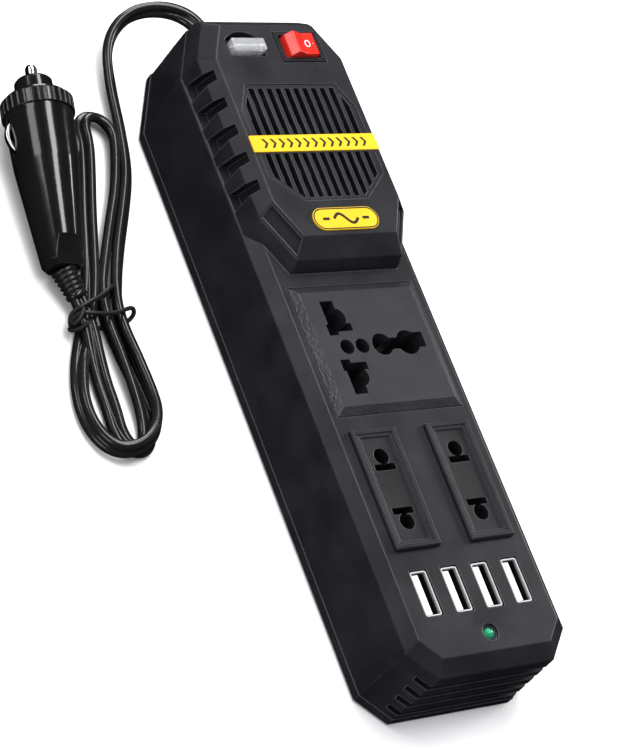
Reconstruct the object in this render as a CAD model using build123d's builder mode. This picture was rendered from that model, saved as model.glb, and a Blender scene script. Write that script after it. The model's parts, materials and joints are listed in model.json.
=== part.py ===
"""Hand-held power inverter: 12 V lighter plug and cord, mains and USB outlets, fan, switch and fuse.

The case lies on its back: +Z out of the socket face, +Y towards the cord end, origin at the
middle of the back face. All sizes are in millimetres.
"""

import os
from math import cos, pi, radians, sin, tan

from build123d import *

# ---------------------------------------------------------------- driving dimensions
CASE_LENGTH = 200.0
CASE_WIDTH = 55.0
CASE_DEPTH = 37.0
WALL = 2.0
PARTING_Z = 3.4
RIDGE_Z = 25.5
DECK_Z = 28.5
BEVEL_Z = 33.0
END_BEVEL_Z = 30.0

TOP_END = CASE_LENGTH / 2
BOTTOM_END = -CASE_LENGTH / 2
TOP_SLOPE = 0.5
BODY_SLOPE = 0.9
HEAD_SLOPE = 0.5

FAN_Y = 54.0
FAN_SIZE = 38.0
FAN_TOP_Z = 33.5
FAN_DEPTH = 10.0

SWITCH_X, SWITCH_Y = 8.4, 85.4
FUSE_X, FUSE_Y = -9.9, 85.0
PLATE_Y = -5.8
SOCKET_Y = -5.6
PAIR_X, PAIR_Y = 12.3, -47.2
USB_Y = -76.7
USB_PITCH = 10.0
LED_Y = -89.6
SCREWS = [(19.4, 80.0), (-19.4, 80.0), (20.2, -91.8), (-20.2, -91.8)]

BOARD_Z = 6.0
BOARD_THICKNESS = 1.6
BOARD_TOP = BOARD_Z + BOARD_THICKNESS

CORD_X, CORD_Z = -1.0, 12.5
CORD_DIAMETER = 3.6
CORD_FLOOR = 2.6

os.makedirs("parts", exist_ok=True)


# ---------------------------------------------------------------- shared helpers
def outline(half_width, top, bottom, top_cut, bottom_cut, bottom_slope):
    """Eight corners of the case outline: a long rectangle with its four corners cut off."""
    right = [
        (half_width - TOP_SLOPE * top_cut, top),
        (half_width, top - top_cut),
        (half_width, bottom + bottom_cut),
        (half_width - bottom_slope * bottom_cut, bottom),
    ]
    left = [(-x, y) for x, y in reversed(right)]
    return right + left


def write(part, name):
    """Label a finished sub-part and write its STEP file."""
    part.label = name
    export_step(part, f"parts/{name}.step")


def rounded_box(width, height, depth, radius, x, y, z_low, mode=Mode.ADD):
    """An upright block with rounded vertical edges, standing on z_low, in the open part."""
    with BuildSketch(Plane.XY.offset(z_low)) as base:
        with Locations((x, y)):
            RectangleRounded(width, height, radius)
    extrude(base.sketch, amount=depth, mode=mode)


def plain_box(x_low, x_high, y_low, y_high, z_low, z_high, mode=Mode.ADD):
    """A block between two corners, in the open part."""
    with BuildSketch(Plane.XY.offset(z_low)) as base:
        with Locations(((x_low + x_high) / 2, (y_low + y_high) / 2)):
            Rectangle(x_high - x_low, y_high - y_low)
    extrude(base.sketch, amount=z_high - z_low, mode=mode)


def round_post(x, y, radius, z_low, z_high, mode=Mode.ADD):
    """An upright cylinder in the open part."""
    with BuildSketch(Plane.XY.offset(z_low)) as base:
        with Locations((x, y)):
            Circle(radius)
    extrude(base.sketch, amount=z_high - z_low, mode=mode)


# ---------------------------------------------------------------- casing
REAR = (CASE_WIDTH / 2, TOP_END, BOTTOM_END, 20.0, 8.2, BODY_SLOPE)
SEAM = (27.2, 99.8, -99.8, 19.6, 8.1, BODY_SLOPE)
RIDGE = (26.2, 99.0, -98.9, 16.4, 8.1, BODY_SLOPE)
DECK = (22.9, 95.0, -94.7, 14.0, 5.8, BODY_SLOPE)
HEAD_FOOT = (26.2, 99.0, 16.4, 16.4, 15.0, HEAD_SLOPE)
HEAD_END = (25.1, 98.8, 18.2, 15.7, 14.4, HEAD_SLOPE)
HEAD_BEVEL = (24.4, 96.2, 19.4, 12.6, 13.8, HEAD_SLOPE)
HEAD_FACE = (21.1, 92.7, 24.6, 11.2, 11.3, HEAD_SLOPE)

NOTCH_PITCH = 8.8
NOTCH_COUNT = 5
NOTCH_FIRST_Y = 42.0
# a notch seen from the case's end, then from its side: it widens towards the foot of the head
NOTCH_PROFILE = [(20.4, 35.6), (30.0, 35.6), (30.0, 26.0), (22.6, 26.0)]
NOTCH_FACE = [(-1.6, 35.6), (1.6, 35.6), (2.7, 26.0), (-2.7, 26.0)]

EDGE_RADIUS = 0.7
SLOT_COUNT = 4
SLOT_FIRST_Z = 5.4
SLOT_PITCH = 4.7
SLOT_HEIGHT = 1.9
SLOT_DEPTH = 3.6
SLOT_SPAN = 44.4
# pocket corners: share of the way down the flat's long sides, and from the face to the bevel's foot
POCKET_CORNERS = [(0.04, 0.16), (0.95, 0.16), (0.95, 0.86), (0.04, 0.86)]
POCKET_DEPTH = 1.1

GRILLE = (19.2, 73.0, 35.4, 8.0, 8.0, 1.1)
GRILLE_THICKNESS = 2.0


def shrink(shape, wall):
    """The same outline, moved in by a wall."""
    half_width, top, bottom, top_cut, bottom_cut, slope = shape
    cuts = (top_cut - 0.8 * wall, bottom_cut - 0.6 * wall)
    return (half_width - wall, top - wall, bottom + wall, *cuts, slope)


def loft_levels(levels, mode=Mode.ADD):
    """A flat-sided loft through outlines at rising heights, in the open part."""
    sections = []
    for height, shape in levels:
        with BuildSketch(Plane.XY.offset(height)) as section:
            Polygon(*outline(*shape))
        sections.append(section.sketch)
    loft(sections, ruled=True, mode=mode)


def rounded_levels(levels):
    """The same loft as a block of its own, with every edge above its first level rounded."""
    with BuildPart() as block:
        loft_levels(levels)
        above = levels[0][0] + 0.1
        fillet(block.edges().filter_by(lambda edge: edge.center().Z > above), radius=EDGE_RADIUS)
    return block.part


def end_slots():
    """Cuts the cooling slots that wrap round the lower end, half way into each cut corner."""
    for level in range(SLOT_COUNT):
        with BuildSketch(Plane.XY.offset(SLOT_FIRST_Z + SLOT_PITCH * level)) as slot:
            Polygon(*outline(*REAR))
            Polygon(*outline(*shrink(REAR, SLOT_DEPTH)), mode=Mode.SUBTRACT)
            with Locations((0, BOTTOM_END + 2.5)):
                Rectangle(SLOT_SPAN, 9.0, mode=Mode.INTERSECT)
        extrude(slot.sketch, amount=SLOT_HEIGHT, mode=Mode.SUBTRACT)


def notch_cutter(side, notch_y):
    """The wedge that one side notch takes out of the head."""
    with BuildPart() as cutter:
        with BuildSketch(Plane.XZ.offset(-notch_y)) as depth:
            Polygon(*[(side * x, z) for x, z in NOTCH_PROFILE])
        extrude(depth.sketch, amount=4.0, both=True)
        with BuildSketch(Plane.YZ) as face:
            Polygon(*[(notch_y + y, z) for y, z in NOTCH_FACE])
        extrude(face.sketch, amount=side * 40.0, mode=Mode.INTERSECT)
    return cutter.part


def corner_pocket(side):
    """Cuts the shallow pocket that nearly fills the flat of one lower corner of the head's bevel."""
    face_points = [Vector(side * x, y, CASE_DEPTH) for x, y in outline(*HEAD_FACE)[2:4]]
    bevel_points = [Vector(side * x, y, BEVEL_Z) for x, y in outline(*HEAD_BEVEL)[2:4]]
    along = face_points[0] - face_points[1]
    normal = along.cross(bevel_points[1] - face_points[1]) * -side
    flat = Plane(origin=face_points[1], x_dir=along, z_dir=normal)
    corners = []
    for share, depth in POCKET_CORNERS:
        on_face = face_points[0] * (1 - share) + face_points[1] * share
        on_bevel = bevel_points[0] * (1 - share) + bevel_points[1] * share
        corner = flat.to_local_coords(on_face * (1 - depth) + on_bevel * depth)
        corners.append((corner.X, corner.Y))
    with BuildSketch(flat) as pocket:
        Polygon(*corners)
    extrude(pocket.sketch, amount=-POCKET_DEPTH, mode=Mode.SUBTRACT)


def fuse_scoop(margin, z_low, depth, mode=Mode.ADD):
    """The fuse window with a finger scoop beside it: a rectangle bulging to an arc."""
    with BuildSketch(Plane.XY.offset(z_low)) as window:
        with Locations((FUSE_X, FUSE_Y)):
            Rectangle(11.2 + 2 * margin, 4.8 + 2 * margin)
        with Locations((FUSE_X, FUSE_Y - 2.6)):
            Circle(7.7 + margin)
        with Locations((FUSE_X, FUSE_Y + 2.7)):
            Rectangle(11.2 + 2 * margin, 10.2 + 2 * margin, mode=Mode.INTERSECT)
    extrude(window.sketch, amount=depth, mode=mode)


with BuildPart() as front_shell:
    add(rounded_levels([(PARTING_Z, SEAM), (RIDGE_Z, RIDGE), (DECK_Z, DECK)]))
    head_foot = (RIDGE_Z - 2.5, HEAD_FOOT)
    add(rounded_levels([head_foot, (END_BEVEL_Z, HEAD_END), (BEVEL_Z, HEAD_BEVEL), (CASE_DEPTH, HEAD_FACE)]))
    # cavity under the deck, then under the head
    loft_levels(
        [(PARTING_Z, shrink(SEAM, WALL)), (24.4, shrink(RIDGE, WALL)), (DECK_Z - WALL, shrink(DECK, 1.6))],
        mode=Mode.SUBTRACT,
    )
    head_ceiling = (CASE_DEPTH - WALL, shrink(HEAD_FACE, 1.9))
    head_cavity = [(24.0, shrink(HEAD_FOOT, 4.4)), (31.5, shrink(HEAD_BEVEL, 4.2)), head_ceiling]
    loft_levels(head_cavity, mode=Mode.SUBTRACT)
    # screw columns
    for x, y in SCREWS:
        round_post(x, y, 3.0, PARTING_Z, 24.0 if y < 0 else 30.0)
        round_post(x, y, 1.1, PARTING_Z, 16.0, mode=Mode.SUBTRACT)
    # side notches in the head
    for side in (1, -1):
        for index in range(NOTCH_COUNT):
            add(notch_cutter(side, NOTCH_FIRST_Y + NOTCH_PITCH * index), mode=Mode.SUBTRACT)
    # shallow pockets in the two lower corners of the head's bevel
    for side in (1, -1):
        corner_pocket(side)
    # openings in the head: grille, switch and fuse with its finger scoop
    with BuildSketch(Plane.XY.offset(CASE_DEPTH - 3)):
        Polygon(*outline(*GRILLE))
    extrude(amount=4, mode=Mode.SUBTRACT)
    rounded_box(15.0, 10.4, 2.0, 0.5, SWITCH_X, SWITCH_Y, CASE_DEPTH - 1.0, mode=Mode.SUBTRACT)
    switch_cut = (SWITCH_X - 6.7, SWITCH_X + 6.7, SWITCH_Y - 4.3, SWITCH_Y + 4.3)
    plain_box(*switch_cut, 30.0, CASE_DEPTH, mode=Mode.SUBTRACT)
    fuse_scoop(0.3, CASE_DEPTH - 4, 5, mode=Mode.SUBTRACT)
    # openings in the deck: universal plate, two sockets, four ports, pilot light
    plain_box(-21.0, 21.0, PLATE_Y - 19.6, PLATE_Y + 19.6, DECK_Z - 1.0, DECK_Z + 4, mode=Mode.SUBTRACT)
    plain_box(-18.8, 18.8, PLATE_Y - 17.4, PLATE_Y + 17.4, DECK_Z - 4, DECK_Z, mode=Mode.SUBTRACT)
    for side in (1, -1):
        centre = side * PAIR_X
        pair_cut = (centre - 6.5, centre + 6.5, PAIR_Y - 16.6, PAIR_Y + 16.6)
        plain_box(*pair_cut, DECK_Z - 4, DECK_Z + 1, mode=Mode.SUBTRACT)
    for index in range(4):
        port_x = USB_PITCH * (index - 1.5)
        rounded_box(5.7, 13.1, 5.0, 0.4, port_x, USB_Y, DECK_Z - 4, mode=Mode.SUBTRACT)
    round_post(0, LED_Y, 2.4, DECK_Z - 0.9, DECK_Z + 1, mode=Mode.SUBTRACT)
    round_post(0, LED_Y, 1.65, DECK_Z - 4, DECK_Z, mode=Mode.SUBTRACT)
    # cooling slots, and the hole for the cord's bush
    end_slots()
    with BuildSketch(Plane.XZ.offset(-TOP_END - 2)):
        with Locations((CORD_X, CORD_Z)):
            Circle(3.3)
    extrude(amount=6, mode=Mode.SUBTRACT)
write(front_shell.part, "front_shell")

with BuildPart() as rear_cover:
    with BuildSketch():
        Polygon(*outline(*REAR))
    extrude(amount=PARTING_Z)
    chamfer(rear_cover.edges().group_by(Axis.Z)[0], length=0.6)
    with BuildSketch(Plane.XY.offset(2.0)):
        Polygon(*outline(*shrink(REAR, WALL)))
    extrude(amount=5, mode=Mode.SUBTRACT)
    for x, y in SCREWS:
        round_post(x, y, 3.4, 1.0, PARTING_Z)
        round_post(x, y, 3.0, -1.0, 1.4, mode=Mode.SUBTRACT)
        round_post(x, y, 1.7, -1.0, PARTING_Z + 1, mode=Mode.SUBTRACT)
    for x in (-18.0, 18.0):
        for y in (-80.0, -10.0, 66.0):
            round_post(x, y, 2.4, 1.0, BOARD_Z)
    for group_y in (-62.0, 46.0):
        with BuildSketch():
            with Locations((0, group_y)):
                with GridLocations(0, 4.4, 1, 6):
                    SlotOverall(26.0, 1.8)
        extrude(amount=3, mode=Mode.SUBTRACT)
write(rear_cover.part, "rear_cover")

with BuildPart() as housing_screws:
    for x, y in SCREWS:
        round_post(x, y, 2.7, 0.2, 1.4)
        round_post(x, y, 1.05, 1.4, 12.0)
        plain_box(x - 1.9, x + 1.9, y - 0.35, y + 0.35, 0.0, 0.8, mode=Mode.SUBTRACT)
        plain_box(x - 0.35, x + 0.35, y - 1.9, y + 1.9, 0.0, 0.8, mode=Mode.SUBTRACT)
write(housing_screws.part, "housing_screws")

# ---------------------------------------------------------------- fan grille and the two badges
BAR_Y = 53.5
BAR_HEIGHT = 5.2
BADGE_Y = 29.2

with BuildPart() as fan_grille:
    grille_base = CASE_DEPTH - GRILLE_THICKNESS
    with BuildSketch(Plane.XY.offset(grille_base)):
        Polygon(*outline(*shrink(GRILLE, 0.12)))
    extrude(amount=GRILLE_THICKNESS - 0.3)
    with BuildSketch(Plane.XY.offset(grille_base - 1)):
        Polygon(*outline(*shrink(GRILLE, 1.2)))
        with Locations((0, (GRILLE[1] + GRILLE[2]) / 2)):
            with GridLocations(3.0, 0, 13, 1):
                Rectangle(1.15, 40, mode=Mode.SUBTRACT)
        with Locations((0, BAR_Y)):
            Rectangle(44, BAR_HEIGHT + 0.6, mode=Mode.SUBTRACT)
    extrude(amount=GRILLE_THICKNESS + 2, mode=Mode.SUBTRACT)
    half_bar = BAR_HEIGHT / 2 + 0.3
    plain_box(-19.0, 19.0, BAR_Y - half_bar, BAR_Y + half_bar, grille_base, CASE_DEPTH)
write(fan_grille.part, "fan_grille")

with BuildPart() as name_bar:
    rounded_box(42.0, BAR_HEIGHT, 0.45, 0.4, 0, BAR_Y, CASE_DEPTH)
write(name_bar.part, "name_bar")

with BuildPart() as rating_badge:
    with BuildSketch(Plane.XY.offset(CASE_DEPTH)):
        with Locations((0, BADGE_Y)):
            SlotOverall(21.6, 6.9)
    extrude(amount=0.45)
write(rating_badge.part, "rating_badge")

# ---------------------------------------------------------------- rocker switch
ROCKER_PIVOT_Z = 34.0
ROCKER_LEAN = 10.0
TRUNNION_RADIUS = 0.9
ROCKER_WIDTH = 7.0

with BuildPart() as switch_body:
    rounded_box(14.6, 10.0, 1.3, 0.6, SWITCH_X, SWITCH_Y, CASE_DEPTH - 1.0)
    plain_box(SWITCH_X - 6.5, SWITCH_X + 6.5, SWITCH_Y - 4.15, SWITCH_Y + 4.15, 22.0, CASE_DEPTH - 1.0)
    rocker_well = (SWITCH_X - 6.1, SWITCH_X + 6.1, SWITCH_Y - 3.75, SWITCH_Y + 3.75)
    plain_box(*rocker_well, 29.0, CASE_DEPTH + 1, mode=Mode.SUBTRACT)
    with BuildSketch(Plane.XZ.offset(-SWITCH_Y)):
        with Locations((SWITCH_X, ROCKER_PIVOT_Z)):
            Circle(TRUNNION_RADIUS + 0.05)
    extrude(amount=6, both=True, mode=Mode.SUBTRACT)
write(switch_body.part, "switch_body")

with BuildPart() as switch_rocker:
    # end view of the cap about its pivot, when level: two raised ends and a shallow valley
    cap_half = [(5.2, 0.4), (5.0, 3.0), (3.6, 5.4), (0, 4.6)]
    cap_profile = [(2.2, -1.8)] + cap_half + [(-x, z) for x, z in reversed(cap_half[:-1])] + [(-2.2, -1.8)]
    with BuildSketch(Plane.XZ.offset(-SWITCH_Y - ROCKER_WIDTH / 2)):
        with Locations((SWITCH_X, ROCKER_PIVOT_Z)):
            Polygon(*cap_profile, rotation=-ROCKER_LEAN)
    extrude(amount=ROCKER_WIDTH)
    fillet(switch_rocker.edges().filter_by(Axis.Y).group_by(Axis.Z)[-1], radius=0.7)
    with BuildSketch(Plane.XZ.offset(-SWITCH_Y)):
        with Locations((SWITCH_X, ROCKER_PIVOT_Z)):
            Circle(TRUNNION_RADIUS)
    extrude(amount=ROCKER_WIDTH / 2 + 0.55, both=True)
write(switch_rocker.part, "switch_rocker")

with BuildPart() as switch_terminals:
    for x in (SWITCH_X - 4.0, SWITCH_X + 4.0):
        plain_box(x - 0.4, x + 0.4, SWITCH_Y - 2.4, SWITCH_Y + 2.4, 14.0, 22.0)
        with BuildSketch(Plane.YZ.offset(x - 1)):
            with Locations((SWITCH_Y, 16.0)):
                Circle(0.8)
        extrude(amount=2, mode=Mode.SUBTRACT)
write(switch_terminals.part, "switch_terminals")

# ---------------------------------------------------------------- blade fuse and its holder
FUSE_TOP = CASE_DEPTH + 2.4
FUSE_SIZE = (10.9, 3.8)
BLADE_X = 3.9

with BuildPart() as fuse_holder:
    fuse_scoop(0.2, 32.4, 1.6)
    plain_box(FUSE_X - 5.8, FUSE_X + 5.8, FUSE_Y - 2.6, FUSE_Y + 2.6, 21.0, 32.4)
    plain_box(FUSE_X - 5.6, FUSE_X + 5.6, FUSE_Y - 2.05, FUSE_Y + 2.05, 30.4, 36.0, mode=Mode.SUBTRACT)
    for side in (1, -1):
        blade_x = FUSE_X + side * BLADE_X
        plain_box(blade_x - 1.6, blade_x + 1.6, FUSE_Y - 0.6, FUSE_Y + 0.6, 22.0, 31.0, mode=Mode.SUBTRACT)
write(fuse_holder.part, "fuse_holder")

with BuildPart() as fuse_body:
    rounded_box(FUSE_SIZE[0], FUSE_SIZE[1], FUSE_TOP - 30.6, 0.5, FUSE_X, FUSE_Y, 30.6)
    chamfer(fuse_body.faces().sort_by(Axis.Z)[-1].edges(), length=0.35)
    for side in (1, -1):
        blade_x = FUSE_X + side * BLADE_X
        plain_box(blade_x - 1.4, blade_x + 1.4, FUSE_Y - 0.42, FUSE_Y + 0.42, 30.0, 37.6, mode=Mode.SUBTRACT)
    plain_box(FUSE_X - 2.6, FUSE_X + 2.6, FUSE_Y - 0.42, FUSE_Y + 0.42, 34.6, 37.6, mode=Mode.SUBTRACT)
write(fuse_body.part, "fuse_body")

with BuildPart() as fuse_blades:
    for side in (1, -1):
        blade_x = FUSE_X + side * BLADE_X
        plain_box(blade_x - 1.35, blade_x + 1.35, FUSE_Y - 0.38, FUSE_Y + 0.38, 23.4, 37.4)
    plain_box(FUSE_X - 2.6, FUSE_X + 2.6, FUSE_Y - 0.2, FUSE_Y + 0.2, 35.2, 36.4)
write(fuse_blades.part, "fuse_blades")

# ---------------------------------------------------------------- universal socket
PLATE_TOP = DECK_Z + 1.2
SOCKET_BOTTOM = 12.6
PIN_X = -9.6
EARTH_X = 10.4


def pin_opening(side):
    """One current opening: flat and round pins of several plug standards over one contact."""
    with Locations((-11.1, SOCKET_Y + side * 10.3)):
        Rectangle(4.3, 7.6)
    with Locations((PIN_X, SOCKET_Y + side * 8.9)):
        Circle(2.9)
    with Locations((-9.9, SOCKET_Y + side * 5.9)):
        Rectangle(8.2, 2.3)
    with Locations((-12.4, SOCKET_Y + side * 4.6)):
        Rectangle(3.2, 1.8)


def earth_opening():
    """The earth opening: two round holes joined to a flat one."""
    with Locations((1.8, SOCKET_Y)):
        Circle(3.3)
    with Locations((EARTH_X, SOCKET_Y)):
        Circle(3.7)
    with Locations((6.0, SOCKET_Y)):
        Rectangle(7.0, 3.4)
    with Locations((14.2, SOCKET_Y + 0.6)):
        Rectangle(3.8, 4.6)


with BuildPart() as universal_socket_plate:
    plain_box(-20.8, 20.8, PLATE_Y - 19.4, PLATE_Y + 19.4, DECK_Z - 1.0, DECK_Z)
    with BuildSketch(Plane.XY.offset(DECK_Z)):
        with Locations((0, PLATE_Y)):
            Rectangle(41.6, 38.8)
    with BuildSketch(Plane.XY.offset(PLATE_TOP)):
        with Locations((0, PLATE_Y)):
            Rectangle(37.0, 34.4)
    loft()
    plain_box(-18.4, 18.4, PLATE_Y - 17.0, PLATE_Y + 17.0, SOCKET_BOTTOM, DECK_Z - 1.0)
    # pin openings run down into the contact chambers
    with BuildSketch(Plane.XY.offset(SOCKET_BOTTOM + 1.4)):
        pin_opening(1)
        pin_opening(-1)
        earth_opening()
    extrude(amount=20, mode=Mode.SUBTRACT)
    for x in (-9.9, -4.9):
        round_post(x, SOCKET_Y, 2.2, SOCKET_BOTTOM + 1.4, PLATE_TOP + 1, mode=Mode.SUBTRACT)
    # slots that hold the spring contacts
    for side in (1, -1):
        chamber_y = SOCKET_Y + side * 10.6
        plain_box(-15.4, -13.1, chamber_y - 3.4, chamber_y + 3.4, 14.0, 26.0, mode=Mode.SUBTRACT)
    plain_box(4.0, 8.2, SOCKET_Y + 1.4, SOCKET_Y + 4.6, 14.0, 26.0, mode=Mode.SUBTRACT)
write(universal_socket_plate.part, "universal_socket_plate")

for side, name in ((1, "contact_neutral"), (-1, "contact_live")):
    with BuildPart() as contact:
        contact_y = SOCKET_Y + side * 10.6
        plain_box(-14.6, -13.9, contact_y - 3.0, contact_y + 3.0, 14.2, 25.6)
        plain_box(-14.6, -13.35, contact_y - 3.0, contact_y + 3.0, 21.0, 22.6)
    write(contact.part, name)

with BuildPart() as contact_earth:
    plain_box(4.6, 7.6, SOCKET_Y + 2.2, SOCKET_Y + 2.9, 14.2, 25.6)
    plain_box(4.6, 7.6, SOCKET_Y + 1.9, SOCKET_Y + 2.9, 21.0, 22.6)
write(contact_earth.part, "contact_earth")

# ---------------------------------------------------------------- two-pin sockets
PAIR_TOP = DECK_Z + 1.4
PAIR_FLOOR = DECK_Z + 0.3
PIN_HOLE_RADIUS = 2.3
PIN_HOLE_OFFSET = 9.5
FLAT_OFFSET = 6.35


def two_pin_socket(centre):
    """A framed socket for round pins 19 mm apart or flat blades 12.7 mm apart."""
    with BuildPart() as socket:
        rounded_box(14.6, 34.8, PAIR_TOP - DECK_Z, 0.5, centre, PAIR_Y, DECK_Z)
        chamfer(socket.faces().sort_by(Axis.Z)[-1].edges(), length=0.45)
        plain_box(centre - 6.3, centre + 6.3, PAIR_Y - 16.4, PAIR_Y + 16.4, 14.4, DECK_Z)
        above = PAIR_TOP + 1
        upper_step = (centre - 5.9, centre + 5.9, PAIR_Y - 16.0, PAIR_Y + 16.0)
        plain_box(*upper_step, PAIR_TOP - 0.5, above, mode=Mode.SUBTRACT)
        lower_step = (centre - 4.9, centre + 4.9, PAIR_Y - 15.1, PAIR_Y + 15.1)
        plain_box(*lower_step, PAIR_FLOOR, above, mode=Mode.SUBTRACT)
        for side in (1, -1):
            hole_y = PAIR_Y + side * PIN_HOLE_OFFSET
            round_post(centre, hole_y, PIN_HOLE_RADIUS, 15.6, above, mode=Mode.SUBTRACT)
            flat_y = PAIR_Y + side * FLAT_OFFSET
            flat_slot = (centre - 3.4, centre + 3.4, flat_y - 0.95, flat_y + 0.95)
            plain_box(*flat_slot, 15.6, above, mode=Mode.SUBTRACT)
            plain_box(centre - 4.6, centre - 2.2, flat_y - 1.4, flat_y + 1.4, 16.0, 27.0, mode=Mode.SUBTRACT)
    return socket.part


def two_pin_contacts(centre):
    """A pair of folded brass springs, one beside each blade slot."""
    with BuildPart() as contacts:
        for side in (1, -1):
            flat_y = PAIR_Y + side * FLAT_OFFSET
            plain_box(centre - 4.4, centre - 3.8, flat_y - 1.2, flat_y + 1.2, 16.2, 26.4)
            plain_box(centre - 4.4, centre - 2.9, flat_y - 1.2, flat_y - 0.7, 24.8, 26.4)
    return contacts.part


for centre, word in ((-PAIR_X, "left"), (PAIR_X, "right")):
    write(two_pin_socket(centre), f"two_pin_socket_{word}")
    write(two_pin_contacts(centre), f"two_pin_contacts_{word}")

# ---------------------------------------------------------------- USB ports
USB_SHELL = (5.1, 12.5)
USB_TOP = DECK_Z - 0.3
USB_BOTTOM = 14.2

for index in range(4):
    port_x = USB_PITCH * (index - 1.5)
    with BuildPart() as usb_shell:
        rounded_box(USB_SHELL[0], USB_SHELL[1], USB_TOP - USB_BOTTOM, 0.6, port_x, USB_Y, USB_BOTTOM)
        inner_width, inner_height = USB_SHELL[0] - 0.7, USB_SHELL[1] - 0.7
        rounded_box(inner_width, inner_height, 20, 0.4, port_x, USB_Y, USB_BOTTOM + 0.6, mode=Mode.SUBTRACT)
    write(usb_shell.part, f"usb_shell_{index + 1}")
    with BuildPart() as usb_tongue:
        tongue_x = port_x - 0.75
        plain_box(tongue_x - 0.92, tongue_x + 0.92, USB_Y - 5.5, USB_Y + 5.5, USB_BOTTOM + 0.6, USB_TOP - 0.7)
        rounded_box(4.2, 11.6, 3.0, 0.4, port_x, USB_Y, USB_BOTTOM + 0.6)
    write(usb_tongue.part, f"usb_tongue_{index + 1}")

with BuildPart() as usb_board:
    plain_box(-21.5, 21.5, -87.0, -67.0, USB_BOTTOM - 1.4, USB_BOTTOM)
    for x in (-10.0, 0.0, 10.0):
        plain_box(x - 1.6, x + 1.6, -79.0, -74.6, USB_BOTTOM, USB_BOTTOM + 1.3)
write(usb_board.part, "usb_board")

# ---------------------------------------------------------------- pilot light
with BuildPart() as power_led:
    round_post(0, LED_Y, 1.5, 24.4, 27.4)
    with BuildSketch(Plane.XZ.offset(-LED_Y)):
        with BuildLine():
            Line((0, 27.4), (1.5, 27.4))
            RadiusArc((1.5, 27.4), (0, 28.7), -1.6)
            Line((0, 28.7), (0, 27.4))
        make_face()
    revolve(axis=Axis((0, LED_Y, 0), (0, 0, 1)))
    round_post(0, LED_Y, 1.9, 23.6, 24.4)
write(power_led.part, "power_led")

with BuildPart() as led_leads:
    for x in (-0.9, 0.9):
        plain_box(x - 0.25, x + 0.25, LED_Y - 0.25, LED_Y + 0.25, BOARD_TOP, 23.6)
write(led_leads.part, "led_leads")

# ---------------------------------------------------------------- electronics
with BuildPart() as main_board:
    plain_box(-22.0, 22.0, -87.6, 75.4, BOARD_Z, BOARD_TOP)
    plain_box(-15.0, 15.0, -93.0, -87.0, BOARD_Z, BOARD_TOP)
write(main_board.part, "main_board")

with BuildPart() as transformer_core:
    for y in (38.0, 62.0):
        plain_box(-17.0, 9.0, y - 3.0, y + 3.0, BOARD_TOP, 21.6)
    plain_box(-17.0, -12.0, 41.0, 59.0, BOARD_TOP, 21.6)
    plain_box(4.0, 9.0, 41.0, 59.0, BOARD_TOP, 21.6)
    plain_box(-7.6, -0.4, 41.0, 59.0, 11.0, 18.2)
write(transformer_core.part, "transformer_core")

with BuildPart() as transformer_winding:
    with BuildSketch(Plane.XZ.offset(-58.6)):
        with Locations((-4.0, 14.6)):
            RectangleRounded(15.4, 13.6, 3.0)
            Rectangle(7.6, 7.6, mode=Mode.SUBTRACT)
    extrude(amount=17.2)
write(transformer_winding.part, "transformer_winding")

with BuildPart() as capacitors:
    for x, radius, height in ((-14.0, 5.0, 17.0), (-1.5, 6.2, 18.0), (12.5, 5.0, 17.0)):
        round_post(x, 25.0, radius, BOARD_TOP, BOARD_TOP + height)
    fillet(capacitors.faces().filter_by(Axis.Z).edges(), radius=0.5)
write(capacitors.part, "capacitors")

with BuildPart() as heat_sink:
    plain_box(19.4, 22.2, 33.0, 74.0, BOARD_TOP, 22.6)
    for index in range(5):
        fin_y = 35.0 + 9.0 * index
        plain_box(22.2, 23.6, fin_y, fin_y + 1.4, BOARD_TOP, 22.6)
write(heat_sink.part, "heat_sink")

with BuildPart() as power_transistors:
    for index in range(4):
        transistor_y = 38.0 + 10.6 * index
        plain_box(14.8, 19.4, transistor_y - 4.4, transistor_y + 4.4, 11.0, 20.0)
        for leg in (-2.5, 0.0, 2.5):
            plain_box(16.4, 17.2, transistor_y + leg - 0.4, transistor_y + leg + 0.4, BOARD_TOP, 11.0)
write(power_transistors.part, "power_transistors")

with BuildPart() as toroid_inductor:
    with BuildSketch(Plane.XY.offset(BOARD_TOP)):
        with Locations((-17.0, 70.0)):
            Circle(4.6)
            Circle(1.8, mode=Mode.SUBTRACT)
    extrude(amount=5.0)
    fillet(toroid_inductor.edges().filter_by(GeomType.CIRCLE), radius=0.9)
write(toroid_inductor.part, "toroid_inductor")

# ---------------------------------------------------------------- fan
FAN_BASE_Z = FAN_TOP_Z - FAN_DEPTH
ROTOR_RADIUS = 16.8
HUB_RADIUS = 9.0

with BuildPart() as fan_frame:
    rounded_box(FAN_SIZE, FAN_SIZE, FAN_DEPTH, 2.5, 0, FAN_Y, FAN_BASE_Z)
    round_post(0, FAN_Y, ROTOR_RADIUS + 0.7, FAN_BASE_Z - 1, FAN_TOP_Z + 1, mode=Mode.SUBTRACT)
    round_post(0, FAN_Y, HUB_RADIUS, FAN_BASE_Z, FAN_BASE_Z + 1.2)
    for index in range(3):
        with BuildSketch(Plane.XY.offset(FAN_BASE_Z)):
            with Locations((0, FAN_Y)):
                with PolarLocations(13.5, 1, start_angle=30 + 120 * index):
                    Rectangle(11.0, 2.0)
        extrude(amount=1.2)
    round_post(0, FAN_Y, 2.6, FAN_BASE_Z, FAN_BASE_Z + 5.5)
    round_post(0, FAN_Y, 1.05, FAN_BASE_Z + 0.6, FAN_TOP_Z, mode=Mode.SUBTRACT)
    for x in (-16.0, 16.0):
        for y in (FAN_Y - 16.0, FAN_Y + 16.0):
            round_post(x, y, 1.7, FAN_BASE_Z - 1, FAN_TOP_Z + 1, mode=Mode.SUBTRACT)
write(fan_frame.part, "fan_frame")

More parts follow.
